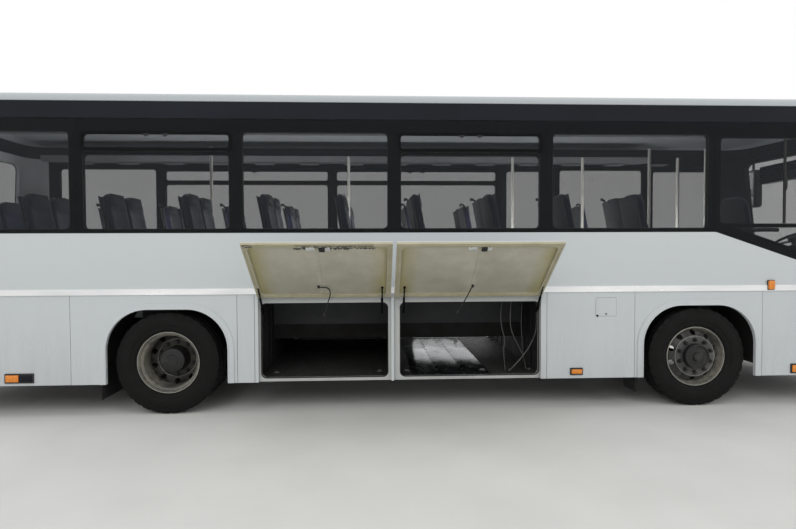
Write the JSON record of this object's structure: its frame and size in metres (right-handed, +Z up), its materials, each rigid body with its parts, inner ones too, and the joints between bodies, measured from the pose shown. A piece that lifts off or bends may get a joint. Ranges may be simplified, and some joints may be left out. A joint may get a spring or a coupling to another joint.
{
  "type": "intercity coach bus",
  "caption": "White intercity coach with a black window band, open side luggage doors, twin rear wheels, seats and steering front wheels",
  "frame": {"origin": "ground level under the coach's middle: mid-length, centre plane, bottom of the tyres", "axes": "+X forwards, +Y to the coach's left side, +Z up"},
  "size_m": [10.72, 3.9218, 3.2059],
  "materials": {
    "white_paint": "gloss white paint, lightly dusty",
    "black_gloss": "gloss black",
    "black_frame": "satin black",
    "tinted_glass": "grey tinted",
    "clear_glass": "clear",
    "polished_strip": "polished",
    "bay_metal": "worn bare metal",
    "bay_black": "dull black",
    "frame_grey": "grey white, dusty",
    "door_paint": "white outside, cream inside",
    "underbody": "matt underseal",
    "rim_dark": "dark, dusty",
    "rim_pale": "pale with road dust",
    "tyre_black": "worn rubber",
    "seat_fabric": "dark blue plush",
    "floor_grey": "grooved floor covering",
    "dash_grey": "grained",
    "rail_steel": "pale coated tube",
    "lamp_clear": "clear lens",
    "lamp_red": "red lens",
    "lamp_amber": "amber lens",
    "rack_grey": "pale grey",
    "cast_iron": "raw"
  },
  "bodies": {
    "coach": {"bay_bulkheads": "bay_black", "bay_floor": "bay_metal", "bay_frames": "frame_grey", "bumpers": "white_paint", "chassis_frame": "underbody", "dashboard": "dash_grey", "driver_seat": "seat_fabric", "engine_block": "cast_iron", "floor_deck": "floor_grey", "front_axle": "cast_iron", "front_panel": "white_paint", "front_pillars": "black_gloss", "handrails": "rail_steel", "headlamps": "lamp_clear", "hopper_frames": "black_frame", "luggage_racks": "rack_grey", "marker_lamps": "lamp_amber", "mirrors": "black_frame", "passenger_door_glass": "tinted_glass", "passenger_doors": "black_frame", "rear_axle": "cast_iron", "rear_panel": "white_paint", "rear_window": "tinted_glass", "roof_shell": "white_paint", "rub_strips": "polished_strip", "seat_backs": "seat_fabric", "seat_cushions": "seat_fabric", "side_windows": "tinted_glass", "skirts": "white_paint", "tail_lamps": "lamp_red", "towing_eyes": "cast_iron", "upper_band": "black_gloss", "waist_panels": "white_paint", "wheel_housings": "underbody", "window_frames": "black_frame", "windscreen": "clear_glass", "wipers": "black_frame"},
    "door_right_rear": {"luggage_door_right_rear": "door_paint"},
    "door_right_front": {"luggage_door_right_front": "door_paint"},
    "door_left_rear": {"luggage_door_left_rear": "door_paint"},
    "door_left_front": {"luggage_door_left_front": "door_paint"},
    "fuel_flap": {"fuel_flap": "white_paint"},
    "engine_cover": {"engine_cover": "white_paint"},
    "hatch_rear": {"roof_hatch_rear": "white_paint"},
    "hatch_front": {"roof_hatch_front": "white_paint"},
    "knuckle_left": {"knuckle_left": "cast_iron"},
    "knuckle_right": {"knuckle_right": "cast_iron"},
    "wheel_front_left": {"tyre_front_left": "tyre_black", "rim_front_left": "rim_dark"},
    "wheel_front_right": {"tyre_front_right": "tyre_black", "rim_front_right": "rim_dark"},
    "wheel_rear_left": {"tyre_rear_left": "tyre_black", "rim_rear_left": "rim_pale"},
    "wheel_rear_right": {"tyre_rear_right": "tyre_black", "rim_rear_right": "rim_pale"},
    "steering_wheel": {"steering_wheel": "dash_grey"}
  },
  "joints": [
    {"name": "door_right_rear_hinge", "type": "hinge", "parent": "coach", "child": "door_right_rear", "pos_m": [0, -1.254, 1.166], "axis": [1, 0, 0], "range_deg": [0, 127]},
    {"name": "door_right_front_hinge", "type": "hinge", "parent": "coach", "child": "door_right_front", "pos_m": [0, -1.254, 1.166], "axis": [1, 0, 0], "range_deg": [0, 127]},
    {"name": "door_left_rear_hinge", "type": "hinge", "parent": "coach", "child": "door_left_rear", "pos_m": [0, 1.254, 1.166], "axis": [1, 0, 0], "range_deg": [0, 127]},
    {"name": "door_left_front_hinge", "type": "hinge", "parent": "coach", "child": "door_left_front", "pos_m": [0, 1.254, 1.166], "axis": [-1, 0, 0], "range_deg": [0, 127]},
    {"name": "fuel_flap_hinge", "type": "hinge", "parent": "coach", "child": "fuel_flap", "pos_m": [1.789, -1.2543, 1], "axis": [0, 0, -1], "range_deg": [0, 110]},
    {"name": "engine_cover_hinge", "type": "hinge", "parent": "coach", "child": "engine_cover", "pos_m": [-5.3022, 0, 1.48], "axis": [0, 1, 0], "range_deg": [0, 85]},
    {"name": "hatch_rear_hinge", "type": "hinge", "parent": "coach", "child": "hatch_rear", "pos_m": [-3.0415, 0, 3.1813], "axis": [0, -1, 0], "range_deg": [0, 60]},
    {"name": "hatch_front_hinge", "type": "hinge", "parent": "coach", "child": "hatch_front", "pos_m": [1.6585, 0, 3.1813], "axis": [0, -1, 0], "range_deg": [0, 60]},
    {"name": "steer_left", "type": "hinge", "parent": "coach", "child": "knuckle_left", "pos_m": [2.85, 0.89, 0.505], "axis": [0, 0, 1], "range_deg": [-38, 38]},
    {"name": "steer_right", "type": "hinge", "parent": "coach", "child": "knuckle_right", "pos_m": [2.85, -0.89, 0.505], "axis": [0, 0, 1], "range_deg": [-38, 38]},
    {"name": "steering_wheel_turn", "type": "hinge", "parent": "coach", "child": "steering_wheel", "pos_m": [4.31, -0.65, 1.7], "axis": [-0.4384, 0, 0.8988], "range_deg": [-700, 700]},
    {"name": "wheel_front_left_spin", "type": "hinge", "parent": "knuckle_left", "child": "wheel_front_left", "pos_m": [2.85, 1.082, 0.505], "axis": [0, 1, 0], "continuous": true},
    {"name": "wheel_front_right_spin", "type": "hinge", "parent": "knuckle_right", "child": "wheel_front_right", "pos_m": [2.85, -1.082, 0.505], "axis": [0, 1, 0], "continuous": true},
    {"name": "wheel_rear_left_spin", "type": "hinge", "parent": "coach", "child": "wheel_rear_left", "pos_m": [-2.458, 1.079, 0.505], "axis": [0, 1, 0], "continuous": true},
    {"name": "wheel_rear_right_spin", "type": "hinge", "parent": "coach", "child": "wheel_rear_right", "pos_m": [-2.458, -1.079, 0.505], "axis": [0, 1, 0], "continuous": true}
  ],
  "couplings": [
    {"joint": "steer_right", "follows": "steer_left", "ratio": 1},
    {"joint": "steering_wheel_turn", "follows": "steer_left", "ratio": 18}
  ]
}
